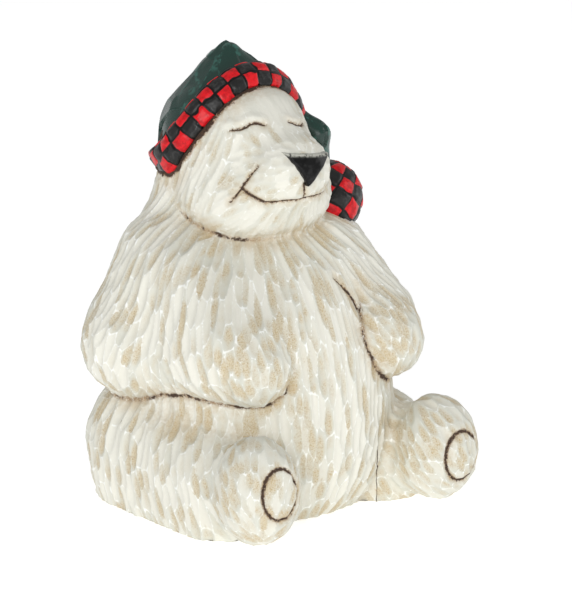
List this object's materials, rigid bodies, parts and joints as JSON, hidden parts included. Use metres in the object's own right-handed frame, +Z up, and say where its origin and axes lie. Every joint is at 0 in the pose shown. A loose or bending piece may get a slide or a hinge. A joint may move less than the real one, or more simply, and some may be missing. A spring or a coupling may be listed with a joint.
{
  "type": "carved_polar_bear_figure",
  "caption": "Seated polar bear figure with closed eyes, a knife-carved cream coat and a red and black checked nightcap, made in one piece",
  "frame": {"origin": "on the flat underside, on the figure's line of symmetry between its haunches", "axes": "+Z up to the cap, -Y the way the bear faces, +X the bear's left"},
  "size_m": [0.1133, 0.1194, 0.1493],
  "materials": {
    "painted_carving": "satin paint over a cast and carved surface"
  },
  "bodies": {
    "root": {"polar_bear": "painted_carving"}
  },
  "joints": []
}
